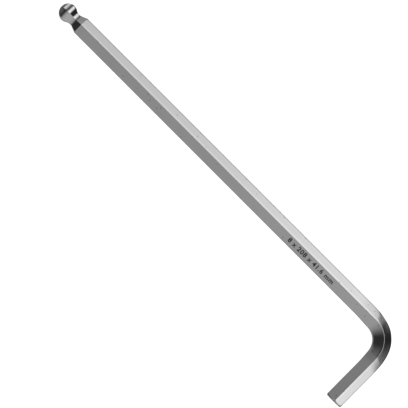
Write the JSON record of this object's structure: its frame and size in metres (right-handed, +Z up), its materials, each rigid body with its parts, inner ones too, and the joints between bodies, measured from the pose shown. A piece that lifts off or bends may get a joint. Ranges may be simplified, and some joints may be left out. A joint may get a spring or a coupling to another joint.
{
  "type": "hex key",
  "caption": "L-shaped hexagonal key with a long arm ending in a ball and a short arm ending in a chamfered flat face; it turns hexagon socket screws from either end.",
  "frame": {"origin": "middle of the outer box, on the surface that the key lies on", "axes": "+X along the long arm from the ball end towards the bend, short arm pointing to -Y, +Z up"},
  "size_m": [0.208, 0.0416, 0.0091],
  "materials": {
    "plated_steel": "satin plated tool steel, drawn along the bar, brighter on the ball end and in the bend"
  },
  "bodies": {
    "root": {"hex_key": "plated_steel"}
  },
  "joints": []
}
